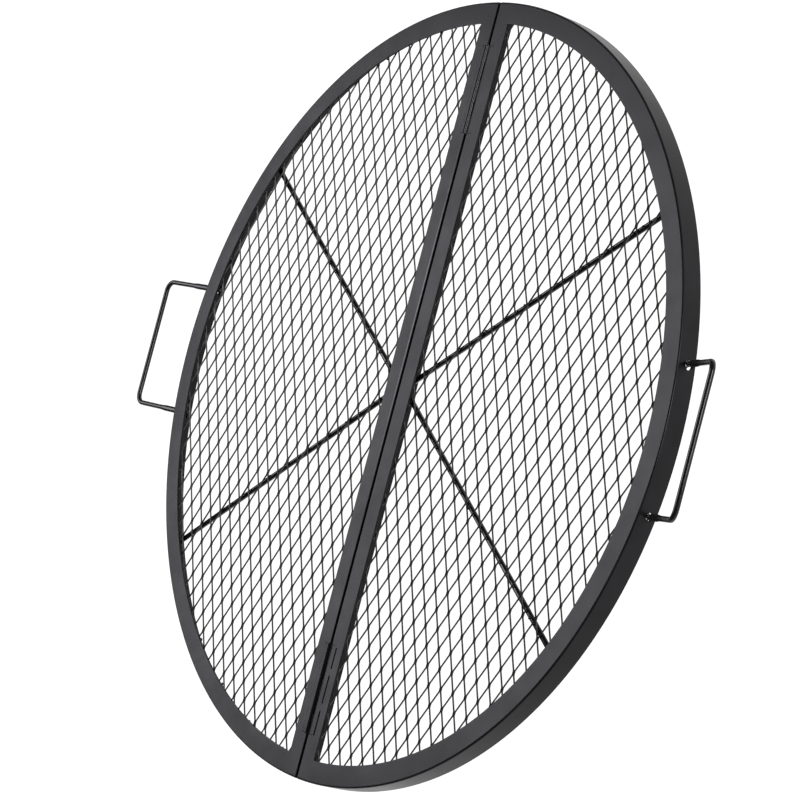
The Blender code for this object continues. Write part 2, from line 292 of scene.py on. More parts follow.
# %% Add the light table
TABLE_SIZE = 60
TABLE_DEPTH = 0.16
TABLE_COLOUR = "#8C8C8C"
TABLE_ROUGHNESS = 0.9
TABLE_GLOW = 0.94

deselect()
bpy.ops.mesh.primitive_plane_add(size=TABLE_SIZE, location=(0, 0, -TABLE_DEPTH))
floor = bpy.context.active_object
floor.name = "light_table"
# Lit opal glass is even and matt: it glows, and mirrors nothing.
table_material = bpy.data.materials.new("white_light_table")
table_material.use_nodes = True
table_shader = table_material.node_tree.nodes["Principled BSDF"]
table_shader.inputs["Base Color"].default_value = colour(TABLE_COLOUR)
table_shader.inputs["Roughness"].default_value = TABLE_ROUGHNESS
table_shader.inputs["Specular IOR Level"].default_value = 0.0
table_shader.inputs["Emission Color"].default_value = colour("#FFFFFF")
table_shader.inputs["Emission Strength"].default_value = TABLE_GLOW
floor.data.materials.append(table_material)
print("light table", round(TABLE_DEPTH / MM), "mm below the grate")

# %% Add the softboxes
NEUTRAL_WHITE = (1.0, 1.0, 1.0)
COOL_WHITE = (1.0, 0.975, 1.05)
# The name, the place, the width and height in metres, the brightness and the tint.
SOFTBOXES = (
    ("back_softbox", (-3.25, 0.14, 3.05), (2.2, 2.5), 4.5, COOL_WHITE),
    ("top_softbox", (-1.7, 0.75, 3.6), (1.8, 1.0), 8.5, NEUTRAL_WHITE),
    ("front_strip", (4.8, 1.2, 1.1), (2.6, 1.0), 22.0, NEUTRAL_WHITE),
)


def add_softbox(name, place, size, brightness, tint):
    """An area light aimed at the grate's middle, as bright whatever its size."""
    width, height = size
    data = bpy.data.lights.new(name, "AREA")
    data.color = tint
    data.shape = "RECTANGLE"
    data.size = width
    data.size_y = height
    data.energy = brightness * math.pi * width * height
    lamp = bpy.data.objects.new(name, data)
    lamp.location = place
    aim = -Vector(place)
    lamp.rotation_euler = aim.to_track_quat("-Z", "Y").to_euler()
    bpy.context.scene.collection.objects.link(lamp)


for softbox in SOFTBOXES:
    add_softbox(*softbox)
print("softboxes:", [softbox[0] for softbox in SOFTBOXES])

# %% Add the dim room
ROOM_BRIGHTNESS = 0.14

world = bpy.data.worlds.new("dim_room")
bpy.context.scene.world = world
world.use_nodes = True
room = world.node_tree.nodes["Background"]
room.inputs["Color"].default_value = (1, 1, 1, 1)
room.inputs["Strength"].default_value = ROOM_BRIGHTNESS
bpy.context.scene.view_settings.view_transform = "Standard"
print("room brightness", ROOM_BRIGHTNESS)

# %% [markdown]
# ## The powder coat
# Powder coat is a thermoset plastic, sprayed on dry and baked. It flows just enough to
# leave an orange peel: soft bumps a millimetre or two apart, with a fine grit between
# them. It gathers a little unevenly, which gives broad, faint clouds in the tone and the
# gloss. One function makes it, and each piece of the grate gets its own version, because
# the coat lies smoother on round rod than on sheet, and rougher over welds.

# %% Sizes and strengths of the coat's patterns
CLOUD_SIZE = 45 * MM
# Real grit is about a tenth of a millimetre across. It is drawn nine times as coarse,
# or the render couldn't show it.
GRIT_SIZE = 0.9 * MM
PEEL_HEIGHT = 0.05 * MM
# The range of the cloud noise that is spread from the dark tone towards the light one.
TONE_CLOUDS = (0.32, 0.68)
CLOUD_SHARE = 0.8
GRIT_SHARE = 0.25
SHEEN_CLOUDS = (0.3, 0.7)
SHEEN_SPREAD = 0.05


# %% A function for the coat
def powder_coat(name, dark, light, roughness, peel_size, peel_depth, gloss):
    """The tone is clouds with grit, the sheen clouds alone, and the relief orange peel."""
    material = bpy.data.materials.new(name)
    material.use_nodes = True
    material.diffuse_color = colour(light)
    tree = material.node_tree
    shader = tree.nodes["Principled BSDF"]
    place = add_node(tree, "ShaderNodeTexCoord", {}).outputs["Object"]

    clouds = add_node(
        tree,
        "ShaderNodeTexNoise",
        {"Vector": place, "Scale": 1 / CLOUD_SIZE, "Detail": 3.0, "Roughness": 0.55},
    )
    grit = add_node(
        tree,
        "ShaderNodeTexNoise",
        {"Vector": place, "Scale": 1 / GRIT_SIZE, "Detail": 2.0, "Roughness": 0.6},
    )
    spread = add_node(
        tree,
        "ShaderNodeMapRange",
        {
            "Value": clouds.outputs["Fac"],
            "From Min": TONE_CLOUDS[0],
            "From Max": TONE_CLOUDS[1],
            "To Min": 0.0,
            "To Max": CLOUD_SHARE,
        },
    )
    speckle = add_node(
        tree,
        "ShaderNodeMath",
        {0: grit.outputs["Fac"], 1: GRIT_SHARE, 2: spread.outputs["Result"]},
        operation="MULTIPLY_ADD",
    )
    tone = add_node(
        tree,
        "ShaderNodeMix",
        {"Factor": speckle.outputs["Value"], "A": colour(dark), "B": colour(light)},
        data_type="RGBA",
    )
    tree.links.new(tone.outputs["Result"], shader.inputs["Base Color"])

    sheen = add_node(
        tree,
        "ShaderNodeMapRange",
        {
            "Value": clouds.outputs["Fac"],
            "From Min": SHEEN_CLOUDS[0],
            "From Max": SHEEN_CLOUDS[1],
            "To Min": roughness - SHEEN_SPREAD,
            "To Max": roughness + SHEEN_SPREAD,
        },
    )
    tree.links.new(sheen.outputs["Result"], shader.inputs["Roughness"])

    peel = add_node(
        tree,
        "ShaderNodeTexNoise",
        {"Vector": place, "Scale": 1 / peel_size, "Detail": 1.5, "Roughness": 0.5},
    )
    relief = add_node(
        tree,
        "ShaderNodeBump",
        {"Height": peel.outputs["Fac"], "Strength": peel_depth, "Distance": PEEL_HEIGHT},
    )
    tree.links.new(relief.outputs["Normal"], shader.inputs["Normal"])
    shader.inputs["Specular IOR Level"].default_value = gloss
    return material


# %% The grate's finishes
ANGLE_COAT = {
    "dark": "#0E0D0F",
    "light": "#161518",
    "roughness": 0.33,
    "peel_size": 1.8 * MM,
    "peel_depth": 0.5,
    "gloss": 0.15,
}
# Angle iron is rolled flat, so the coat lies even: a satin, faintly cool dark grey.
coated_angle = powder_coat("satin_powder_coat_on_angle_iron", **ANGLE_COAT)
# Slit sheet has sharp edges that the coat draws back from. It looks a little warmer and
# glossier, and each small face glints or stays black.
coated_strands = powder_coat(
    "satin_powder_coat_on_expanded_metal",
    dark="#141210",
    light="#1E1B18",
    roughness=0.32,
    peel_size=1.2 * MM,
    peel_depth=0.5,
    gloss=0.3,
)
# Drawn round rod is the smoothest, so it shows one thin, sharp line of light.
coated_rod = powder_coat(
    "satin_powder_coat_on_round_rod",
    dark="#0B0B0A",
    light="#121211",
    roughness=0.17,
    peel_size=2.6 * MM,
    peel_depth=0.15,
    gloss=0.28,
)
# Over weld metal the coat follows the ripples, so its light is broken up and dull.
coated_weld = powder_coat(
    "powder_coat_over_weld_metal",
    dark="#0E0E0E",
    light="#171718",
    roughness=0.38,
    peel_size=0.8 * MM,
    peel_depth=0.9,
    gloss=0.25,
)
# The rear barrel is glossy, so its top is a bright line.
coated_barrel = powder_coat(
    "powder_coat_on_rear_barrel",
    dark="#0A0A0A",
    light="#101010",
    roughness=0.2,
    peel_size=1.5 * MM,
    peel_depth=0.35,
    gloss=0.34,
)
# The front barrel gets a darker, duller copy of the coat, painted shade, so it stays a plain dark
# line.
shaded_front_barrel = powder_coat(
    "powder_coat_on_front_barrel_with_painted_shade",
    dark="#050505",
    light="#090909",
    roughness=0.6,
    peel_size=1.5 * MM,
    peel_depth=0.35,
    gloss=0.04,
)
# The left half's angle iron has the same coat, and gets a painted highlight along its heel in the
# next step.
highlighted_angle = powder_coat("powder_coat_on_angle_iron_with_a_painted_highlight", **ANGLE_COAT)
print("finishes:", [material.name for material in bpy.data.materials])

# %% [markdown]
# The left bar's rounded heel mirrors a light in its middle third, and that highlight is
# painted into the coat as a lighter line. The line is painted by place: a soft band
# across the heel, fading out along the seam.

# %% A painted highlight along the left bar's heel
# Painted highlight: a lighter tone on the left bar's heel, where its rounded edge mirrors a light.
HEEL_HIGHLIGHT_COLOUR = "#7E7E82"
HEEL_HIGHLIGHT_X = -3.5 * MM
HEEL_HIGHLIGHT_HALF_WIDTH = 1.5 * MM
HEEL_HIGHLIGHT_MIDDLE_Y = 95 * MM
HEEL_HIGHLIGHT_HALF_LENGTH = 240 * MM
# The axis, the middle and the half width of each of the two bands that cross.
HEEL_HIGHLIGHT_BANDS = (("X", HEEL_HIGHLIGHT_X, HEEL_HIGHLIGHT_HALF_WIDTH), ("Y", HEEL_HIGHLIGHT_MIDDLE_Y, HEEL_HIGHLIGHT_HALF_LENGTH))


def add_painted_heel_highlight(material):
    """Mixes a lighter tone, a painted highlight, over the coat where both bands are strong."""
    tree = material.node_tree
    shader = tree.nodes["Principled BSDF"]
    coat_tone = shader.inputs["Base Color"].links[0].from_socket
    place = add_node(tree, "ShaderNodeTexCoord", {}).outputs["Object"]
    along = add_node(tree, "ShaderNodeSeparateXYZ", {"Vector": place})
    bands = []
    for axis, centre, half_width in HEEL_HIGHLIGHT_BANDS:
        offset = add_node(
            tree,
            "ShaderNodeMath",
            {0: along.outputs[axis], 1: centre},
            operation="SUBTRACT",
        )
        distance = add_node(
            tree,
            "ShaderNodeMath",
            {0: offset.outputs["Value"]},
            operation="ABSOLUTE",
        )
        band = add_node(
            tree,
            "ShaderNodeMapRange",
            {"Value": distance.outputs["Value"], "From Min": half_width, "From Max": 0.0},
            interpolation_type="SMOOTHSTEP",
        )
        bands.append(band.outputs["Result"])
    highlighted = add_node(tree, "ShaderNodeMath", {0: bands[0], 1: bands[1]}, operation="MULTIPLY")
    tone = add_node(
        tree,
        "ShaderNodeMix",
        {"Factor": highlighted.outputs["Value"], "A": coat_tone, "B": colour(HEEL_HIGHLIGHT_COLOUR)},
        data_type="RGBA",
    )
    tree.links.new(tone.outputs["Result"], shader.inputs["Base Color"])


add_painted_heel_highlight(highlighted_angle)
FRAME_COATS = {"left": highlighted_angle, "right": coated_angle}
print("the painted highlight's middle is at", round(HEEL_HIGHLIGHT_MIDDLE_Y / MM), "mm, towards the rear")

# %% [markdown]
# ## The welded frames
# Each half's frame is rolled angle iron with a straight length of smaller angle welded
# across its ends, and the top is ground flush before painting, so no line shows between
# them. The section is drawn once as a flat L: a plane for the wall, two extruded edges
# for the flange, then each corner beveled. The rolled heel is the one that catches the
# light. Spinning the section makes the half ring, and extruding it makes the bar.

# %% A flat L of angle iron
HEEL_SEGMENTS = 4
FILLET_SEGMENTS = 3
TOE_SEGMENTS = 2


def round_corner(x, z, radius, segments):
    pick("VERT", lambda at: near(at.x, x) and near(at.z, z))
    bpy.ops.mesh.bevel(offset=radius, segments=segments, affect="VERTICES")


def add_angle_section(name, side_length, heel, inward, heel_radius):
    """An L in the XZ plane, its wall at x = heel and its flange on top pointing inward."""
    deselect()
    wall_height = side_length - THICKNESS
    inner = heel + inward * THICKNESS
    toe = heel + inward * side_length
    bottom = TOP - side_length
    place = ((heel + inner) / 2, 0, bottom + wall_height / 2)
    bpy.ops.mesh.primitive_plane_add(size=1, location=place, rotation=(math.pi / 2, 0, 0))
    piece = start(name, (THICKNESS, wall_height, 1))
    pick("EDGE", lambda at: near(at.z, UNDERSIDE))
    extrude((0, 0, THICKNESS))
    pick("EDGE", lambda at: near(at.x, inner) and at.z > UNDERSIDE + CLOSE)
    extrude((inward * wall_height, 0, 0))
    bpy.ops.mesh.select_all(action="SELECT")
    bpy.ops.mesh.dissolve_limited()
    round_corner(heel, TOP, heel_radius, HEEL_SEGMENTS)
    round_corner(inner, UNDERSIDE, FILLET_RADIUS, FILLET_SEGMENTS)
    for x, z in ((toe, TOP), (toe, UNDERSIDE), (heel, bottom), (inner, bottom)):
        round_corner(x, z, TOE_RADIUS, TOE_SEGMENTS)
    return piece


# %% The half ring and the bar of one half
RIM_STEPS = 120


def make_rim(half, side):
    """The section stands at the seam's front end and is spun round to the rear one."""
    rim = add_angle_section(f"{half}_rim_section", RIM_SIDE, -DISC_RADIUS, 1, RIM_HEEL_RADIUS)
    bpy.ops.object.mode_set(mode="OBJECT")
    rim.rotation_euler.z = math.pi / 2
    rim.location.x = side * HALF_SEAM
    rim = start(rim.name)
    bpy.ops.mesh.select_all(action="SELECT")
    cut_back = math.asin(HALF_SEAM / (DISC_RADIUS - RIM_SIDE / 2))
    spin(RIM_STEPS, side * (math.pi - 2 * cut_back), (0, 0, 0))
    return close_up(rim)


def make_bar(half, side):
    """The section stands at the bar's front end and is drawn out to the rear one."""
    heel = side * BAR_HEEL_X
    bar = add_angle_section(f"{half}_bar_section", BAR_SIDE, heel, side, BAR_HEEL_RADIUS)
    bpy.ops.object.mode_set(mode="OBJECT")
    bar.location.y = -BAR_REACH
    bar = start(bar.name)
    bpy.ops.mesh.select_all(action="SELECT")
    extrude((0, 2 * BAR_REACH, 0))
    return close_up(bar)


# %% [markdown]
# Each handle's rod runs through two drilled holes in the rim's wall. A hole is a little
# larger than the rod, so the handle hangs loose in it, and they aren't all alike.

# %% Holes for the handles
HOLE_SIDES = 40
HOLE_DRILL_LENGTH = 50 * MM
# The distance of each hole along the rim, its height and its radius.
HANDLE_HOLES = {
    "left": ((-80.4 * MM, 9.6 * MM, 5.6 * MM), (80.4 * MM, 9.6 * MM, 5.6 * MM)),
    "right": ((-80.4 * MM, 9.6 * MM, 4.6 * MM), (79.4 * MM, 9.2 * MM, 5.4 * MM)),
}


def cut_handle_holes(weldment, half, side):
    for hole_y, height, radius in HANDLE_HOLES[half]:
        deselect()
        bpy.ops.mesh.primitive_cylinder_add(
            vertices=HOLE_SIDES,
            radius=radius,
            depth=HOLE_DRILL_LENGTH,
            location=(side * DISC_RADIUS, hole_y, height),
            rotation=(0, math.pi / 2, 0),
        )
        drill = start("drill")
        bpy.ops.object.mode_set(mode="OBJECT")
        combine(weldment, drill, "DIFFERENCE")


# %% [markdown]
# The hinge leaves are let into notches in the bars' flanges. A notch is a touch longer
# than its leaf. The front right one is also wider, and its leaf is held by three weld
# tacks, with dark slots between them.

# %% Notches for the hinge leaves
NOTCH_END_GAP = 0.4 * MM
NOTCH_CUTTER_TOP = 2 * TOP
LEAF_SIDE_GAP = {
    "rear_left": 0.0,
    "front_left": 0.0,
    "rear_right": 0.0,
    "front_right": 2.4 * MM,
}
left_leaf_low, left_leaf_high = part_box("rear_hinge_left_leaf")
LEAF_REACH = max(abs(left_leaf_low.x), abs(left_leaf_high.x))


def cut_notches(weldment, half, side):
    for end_name in ENDS:
        low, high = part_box(f"{end_name}_hinge_{half}_leaf")
        reach = side * (LEAF_REACH + LEAF_SIDE_GAP[f"{end_name}_{half}"])
        xs = sorted((-side * HALF_SEAM, reach))
        ys = (low.y - NOTCH_END_GAP, high.y + NOTCH_END_GAP)
        zs = (UNDERSIDE, NOTCH_CUTTER_TOP)
        cutter = add_block("notch", (xs[0], ys[0], zs[0]), (xs[1], ys[1], zs[1]))
        combine(weldment, cutter, "DIFFERENCE")


# %% Weld the frames
def make_weldment(half, side):
    weldment = make_rim(half, side)
    combine(weldment, make_bar(half, side), "UNION")
    cut_notches(weldment, half, side)
    cut_handle_holes(weldment, half, side)
    weldment.name = f"{half}_welded_frame"
    make_active(weldment)
    shade_smooth(SMOOTH_ANGLE)
    flatten_shading(weldment)
    coat(weldment, FRAME_COATS[half])
    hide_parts(f"{half}_rim", f"{half}_centre_bar")
    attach(weldment, f"{half}_half")
    print(weldment.name, len(weldment.data.polygons), "faces")


for half, side in SIDES.items():
    make_weldment(half, side)

# %% [markdown]
# ## Expanded metal
# A sheet is slit in staggered rows and pulled, so each slit opens into a diamond. No
# metal is lost: every strand stays joined to its neighbours at a bond, and strands and
# bonds are all tipped the same way out of the sheet. So one bond with two strands is
# enough: a block is tipped and split down its middle, each half of its far end is
# extruded to where the next bond begins, and arrays repeat it with their corners
# merged. The pitch along and across was measured in the photograph for each half, and
# it gives each half its own small turn. The pull also leaves a sheet a little bowed, so
# its middle rows are slid sideways with proportional editing before it is trimmed.

# %% Sizes of the expanded metal
STRAND_WIDTH = 1.4 * MM
STRAND_THICKNESS = 1.65 * MM
BOND_HALF_LENGTH = 2.1 * MM
STRAND_TILT = math.radians(22)
WIDTH_WAY = Vector((math.cos(STRAND_TILT), 0, -math.sin(STRAND_TILT)))
PANEL_RADIUS = panel_high.x
PANEL_INNER = panel_low.x
PANEL_MIDDLE = (panel_low.z + panel_high.z) / 2
PANEL_SMOOTH_ANGLE = 20
ACROSS = {"left": Vector((22.031, -0.217, 0)) * MM, "right": Vector((22.030, -0.087, 0)) * MM}
ALONG = {"left": Vector((-0.100, 40.661, 0)) * MM, "right": Vector((0.829, 40.535, 0)) * MM}
A_BOND = {"left": Vector((-3.0, -9.6, 0)) * MM, "right": Vector((2.6, -6.5, 0)) * MM}
BOW = {"left": 6.3 * MM, "right": 2.2 * MM}
BOW_REACH = 520 * MM


# %% One bond with its two strands
def next_bond(half, way):
    """The step from a bond to the next one, up right with 1 and up left with -1."""
    return (ALONG[half] + way * ACROSS[half]) / 2


def closes_a_strand(at, half):
    """Whether a face closes off a strand, where it meets the next bond."""
    for way in (1, -1):
        half_bond = Vector((0, BOND_HALF_LENGTH, 0))
        end = next_bond(half, way) - half_bond - way * STRAND_WIDTH / 2 * WIDTH_WAY
        if (at - end).length < CLOSE:
            return True
    return False


def add_bond(half):
    """A tipped block, its far end split and drawn out to the bonds up right and up left."""
    deselect()
    size = (2 * STRAND_WIDTH, 2 * BOND_HALF_LENGTH, STRAND_THICKNESS)
    bpy.ops.mesh.primitive_cube_add(size=1, rotation=(0, STRAND_TILT, 0))
    bond = start(f"{half}_expanded_panel", size)
    bpy.ops.mesh.select_all(action="SELECT")
    bpy.ops.mesh.bisect(plane_co=(0, 0, 0), plane_no=WIDTH_WAY)
    for way in (1, -1):
        whole_bond = Vector((0, 2 * BOND_HALF_LENGTH, 0))
        strand = next_bond(half, way) - whole_bond - way * STRAND_WIDTH * WIDTH_WAY
        pick("FACE", lambda at: near(at.y, BOND_HALF_LENGTH) and way * at.dot(WIDTH_WAY) > 0)
        extrude(strand)
    pick("FACE", lambda at: near(at.y, -BOND_HALF_LENGTH) or closes_a_strand(at, half))
    bpy.ops.mesh.delete(type="FACE")
    bpy.ops.object.mode_set(mode="OBJECT")
    return bond


# %% Repeat it and trim it to the half disc
SPARE_BONDS = 2
HALF_DISC_SIDES = 180
HALF_DISC_DEPTH = 40 * MM


def repeat(piece, count, offset):
    modifier = piece.modifiers.new("Array", "ARRAY")
    modifier.count = count
    modifier.use_relative_offset = False
    modifier.use_constant_offset = True
    modifier.constant_offset_displace = offset
    modifier.use_merge_vertices = True
    modifier.merge_threshold = CLOSE
    make_active(piece)
    bpy.ops.object.modifier_apply(modifier=modifier.name)


def add_half_disc(side):
    deselect()
    bpy.ops.mesh.primitive_cylinder_add(
        vertices=HALF_DISC_SIDES,
        radius=PANEL_RADIUS,
        depth=HALF_DISC_DEPTH,
        location=(0, 0, TOP),
    )
    disc = start("half_disc")
    bpy.ops.mesh.select_all(action="SELECT")
    edge = (side * PANEL_INNER, 0, 0)
    bpy.ops.mesh.bisect(plane_co=edge, plane_no=(side, 0, 0), clear_inner=True, use_fill=True)
    return close_up(disc)


def lay_out_bonds(half, side):
    """Rows and columns of bonds that cover the half disc, with a few to spare."""
    panel = add_bond(half)
    columns = math.ceil(PANEL_RADIUS / ACROSS[half].x) + SPARE_BONDS
    rows = 2 * math.ceil(PANEL_RADIUS / ALONG[half].y) + SPARE_BONDS
    repeat(panel, 2, next_bond(half, 1))
    repeat(panel, columns, ACROSS[half])
    repeat(panel, rows, ALONG[half])
    first = A_BOND[half] - (rows // 2) * ALONG[half] - ACROSS[half]
    if side < 0:
        first -= (columns - SPARE_BONDS - 1) * ACROSS[half]
    panel.location = first + Vector((0, 0, PANEL_MIDDLE))
    return panel


def bow(half):
    """Slides the row of bonds nearest the middle sideways, and the others less and less."""
    pick("VERT", lambda at: abs(at.y) < ALONG[half].y / 4)
    bpy.ops.transform.translate(
        value=(BOW[half], 0, 0),
        use_proportional_edit=True,
        proportional_edit_falloff="SMOOTH",
        proportional_size=BOW_REACH,
    )


# %% Make both panels
def make_expanded_panel(half, side):
    panel = lay_out_bonds(half, side)
    panel = start(panel.name)
    bpy.ops.mesh.select_mode(type="EDGE")
    bpy.ops.mesh.select_all(action="SELECT")
    bpy.ops.mesh.fill_holes(sides=0)
    bow(half)
    close_up(panel)
    combine(panel, add_half_disc(side), "INTERSECT", "MANIFOLD")
    panel.name = f"{half}_expanded_panel"
    make_active(panel)
    shade_smooth(PANEL_SMOOTH_ANGLE)
    coat(panel, coated_strands)
    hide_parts(f"{half}_mesh_panel")
    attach(panel, f"{half}_half")
    print(panel.name, len(panel.data.polygons), "faces")


for half, side in SIDES.items():
    make_expanded_panel(half, side)

# %% [markdown]
# ## Brace rods
# Two quarter-inch rods run under each panel from the middle of the seam out to the rim.
# Their places come from the solids: the corners of a rod's solid fall into two rings,
# and the middles of those rings are the rod's ends.

# %% Round brace rods
ROD_DIAMETER = 6.4 * MM
ROD_SIDES = 28
ROD_EDGE = 0.5 * MM
EDGE_SEGMENTS = 2
MICROMETRE_DIGITS = 6


def rod_ends(node):
    """The middles of a rod's two end faces, the one by the seam first."""
    solid = frame["nodes"][node].data
    places = {tuple(round(value, MICROMETRE_DIGITS) for value in v.co) for v in solid.vertices}
    corners = [Vector(place) for place in places]
    centre = sum(corners, Vector()) / len(corners)
    lengthways = max(corners, key=lambda corner: (corner - centre).length) - centre
    groups = [[c for c in corners if way * (c - centre).dot(lengthways) > 0] for way in (1, -1)]
    ends = [sum(group, Vector()) / len(group) for group in groups]
    return sorted(ends, key=lambda end: abs(end.x))


def add_rod(name, inner, outer, radius, sides):
    """A round rod between two points, with its end edges eased."""
    deselect()
    bpy.ops.mesh.primitive_cylinder_add(
        vertices=sides,
        radius=radius,
        depth=(outer - inner).length,
        location=(inner + outer) / 2,
        rotation=(outer - inner).to_track_quat("Z", "X").to_euler(),
    )
    rod = start(name)
    pick("FACE", lambda at: (at - inner).length < CLOSE or (at - outer).length < CLOSE)
    bpy.ops.mesh.bevel(offset=ROD_EDGE, segments=EDGE_SEGMENTS)
    return close_up(rod)


for half in SIDES:
    for end_name in ENDS:
        node = f"{half}_{end_name}_brace_rod"
        inner, outer = rod_ends(node)
        rod = add_rod(f"{half}_{end_name}_round_rod", inner, outer, ROD_DIAMETER / 2, ROD_SIDES)
        coat(rod, coated_rod)
        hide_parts(node)
        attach(rod, f"{half}_half")
        print(rod.name, round((outer - inner).length / MM), "mm long")

# %% [markdown]
# ## Weld tacks
# Short tacks hold the rods to the rim's wall, to the bar's leg and to the strands that
# cross them, and hold the panel up against the flanges. A tack is a small frozen puddle:
# a ball pressed flat and shaken a little out of round. One is modelled, and each copy
# has its own mesh, turn and size. All tacks of a half are joined into one piece.

# %% One weld tack
TACK_SIZE = Vector((2.7, 2.1, 1.5)) * MM
TACK_SEGMENTS = 10
TACK_RINGS = 6
TACK_SHAKE = 0.25 * MM
TACK_SHAKE_SEED = 7
TACK_SHAKE_EVENNESS = 0.4
TACK_SMOOTH_ANGLE = 60
TACK_STRETCH = (0.8, 1.2)
random.seed(36)


def add_tack():
    deselect()
    bpy.ops.mesh.primitive_uv_sphere_add(
        segments=TACK_SEGMENTS,
        ring_count=TACK_RINGS,
        radius=1,
    )
    tack = start("weld_tack", TACK_SIZE)
    bpy.ops.mesh.select_all(action="SELECT")
    bpy.ops.transform.vertex_random(
        offset=TACK_SHAKE,
        seed=TACK_SHAKE_SEED,
        uniform=TACK_SHAKE_EVENNESS,
    )
    return close_up(tack, TACK_SMOOTH_ANGLE)


def place_tack(tack, place, scale):
    copy = tack.copy()
    copy.data = tack.data.copy()
    bpy.context.scene.collection.objects.link(copy)
    copy.location = place
    copy.rotation_euler.z = random.uniform(0, math.tau)
    copy.scale = [scale * random.uniform(*TACK_STRETCH) for _ in range(3)]
    return copy


# %% Tacks along the rods
# How far each end tack is set back from the rod's end, and its scale.
RIM_END_TACK = (1.5 * MM, 1.6)
BAR_END_TACK = (2.0 * MM, 1.4)
# The tacks on top of a rod keep this far from its end by the seam and by the rim.
FIRST_ROD_TACK = 30 * MM
LAST_ROD_TACK = 20 * MM
ROD_TACK_PITCH = 85 * MM
ROD_TACK_PITCH_SPREAD = (0.7, 1.3)
ROD_TACK_SCALE = (0.8, 1.15)
ROD_TACK_SINK = 0.9


def tack_rod(tack, inner, outer):
    """Tacks at both ends of a rod and, unevenly, on top of it where strands cross."""
    way = (outer - inner).normalized()
    over = Vector((0, 0, ROD_DIAMETER / 2))
    rim_setback, rim_scale = RIM_END_TACK
    bar_setback, bar_scale = BAR_END_TACK
    copies = [
        place_tack(tack, outer - rim_setback * way, rim_scale),
        place_tack(tack, inner + bar_setback * way, bar_scale),
    ]
    distance = FIRST_ROD_TACK
    while distance < (outer - inner).length - LAST_ROD_TACK:
        scale = random.uniform(*ROD_TACK_SCALE)
        copies.append(place_tack(tack, inner + distance * way + over * ROD_TACK_SINK, scale))
        distance += ROD_TACK_PITCH * random.uniform(*ROD_TACK_PITCH_SPREAD)
    return copies


# %% Tacks under the flanges
FLANGE_TACK_STEPS = 17
FLANGE_TACK_TURN = 84
BAR_TACK_PITCH = 95 * MM
FIRST_BAR_TACK = 70 * MM
LAST_BAR_TACK = 60 * MM
FLANGE_TACK_SCALE = 0.9
FLANGE_TACK_RADIUS = DISC_RADIUS - RIM_SIDE + 2 * MM
BAR_TACK_COVER = 3 * MM


def tack_flanges(tack, side):
    """Tacks under the rim's flange and under the bar's, just out of sight from above."""
    copies = []
    for step in range(FLANGE_TACK_STEPS):
        share = 2 * FLANGE_TACK_TURN * step / (FLANGE_TACK_STEPS - 1)
        turn = math.radians(-FLANGE_TACK_TURN + share)
        way = Vector((side * math.cos(turn), math.sin(turn), 0))
        spot = way * FLANGE_TACK_RADIUS
        copies.append(place_tack(tack, spot + Vector((0, 0, PANEL_MIDDLE)), FLANGE_TACK_SCALE))
    x = side * (PANEL_INNER + BAR_TACK_COVER)
    y = -BAR_REACH + FIRST_BAR_TACK
    while y < BAR_REACH - LAST_BAR_TACK:
        copies.append(place_tack(tack, (x, y, PANEL_MIDDLE), FLANGE_TACK_SCALE))
        y += BAR_TACK_PITCH
    return copies


# %% Make the tacks of both halves
def make_tacks(half, side):
    tack = add_tack()
    copies = []
    for end_name in ENDS:
        inner, outer = rod_ends(f"{half}_{end_name}_brace_rod")
        copies += tack_rod(tack, inner, outer)
    copies += tack_flanges(tack, side)
    bpy.data.objects.remove(tack)
    tacks = join(f"{half}_weld_tacks", copies)
    bpy.ops.object.transform_apply(location=True, rotation=True, scale=True)
    coat(tacks, coated_weld)
    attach(tacks, f"{half}_half")
    print(tacks.name, len(copies), "tacks")


for half, side in SIDES.items():
    make_tacks(half, side)

# %% [markdown]
# ## Butt hinges
# A butt hinge is two leaves of sheet whose edges are rolled round a pin in turn. Here
# both leaves are sunk in the bars' flanges, so only the barrel stands up in the seam.
# A leaf is a block with its edges eased, the knuckles are cylinders joined to it by
# straps, and a long drill takes the pin's hole out of them. Seen from above, a dark slot
# runs along the left of each barrel, so a left leaf starts a few millimetres away from it
# and its straps lie lower than the leaf.

# %% Sizes of the hinges
KNUCKLES = 5
FIRST_KNUCKLE = {"left": 0, "right": 1}
KNUCKLE_GAP = 0.4 * MM
BARREL_SIDES = 32
BARREL_RADIUS = 1.7 * MM
BORE_RADIUS = 1.1 * MM
BORE_DRILL_SPARE = 5 * MM
PIN_RADIUS = 1.0 * MM
PIN_HEAD_RADIUS = 1.6 * MM
PIN_HEAD_THICKNESS = 1.0 * MM
PIN_HEAD_EDGE = 0.35 * MM
PIN_HEAD_SEGMENTS = 3
# The front barrel and pin take the darker copy of the coat, painted shade.
BARREL_COATS = {"rear": coated_barrel, "front": shaded_front_barrel}
print("the fold turns about a line", round(HINGE_AXIS.z / MM, 1), "mm up")

# %% Sizes of the leaves
LEAF_EDGE = 0.2 * MM
LEAF_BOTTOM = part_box("rear_hinge_right_leaf")[0].z
LEAF_TOP = TOP - 0.03 * MM
# How far from the fold's axis each leaf starts.
LEAF_START = {
    "rear_left": 5.6 * MM,
    "front_left": 4.8 * MM,
    "rear_right": 1.9 * MM,
    "front_right": 1.9 * MM,
}
STRAP_OVERLAP = 1.0 * MM
STRAP_DROP = {"left": 1.6 * MM, "right": 0.0}
# The distance of each weld tack from the leaf's middle, and its length.
LEAF_TACKS = ((-19.2 * MM, 8.5 * MM), (21.4 * MM, 7.6 * MM), (50.9 * MM, 2.4 * MM))
LEAF_TACK_OVERLAP = 1.2 * MM
LEAF_TACK_BITE = 0.4 * MM
LEAF_TACK_DROP = 0.1 * MM
print("leaves reach", round(LEAF_REACH / MM, 1), "mm out from the fold's axis")


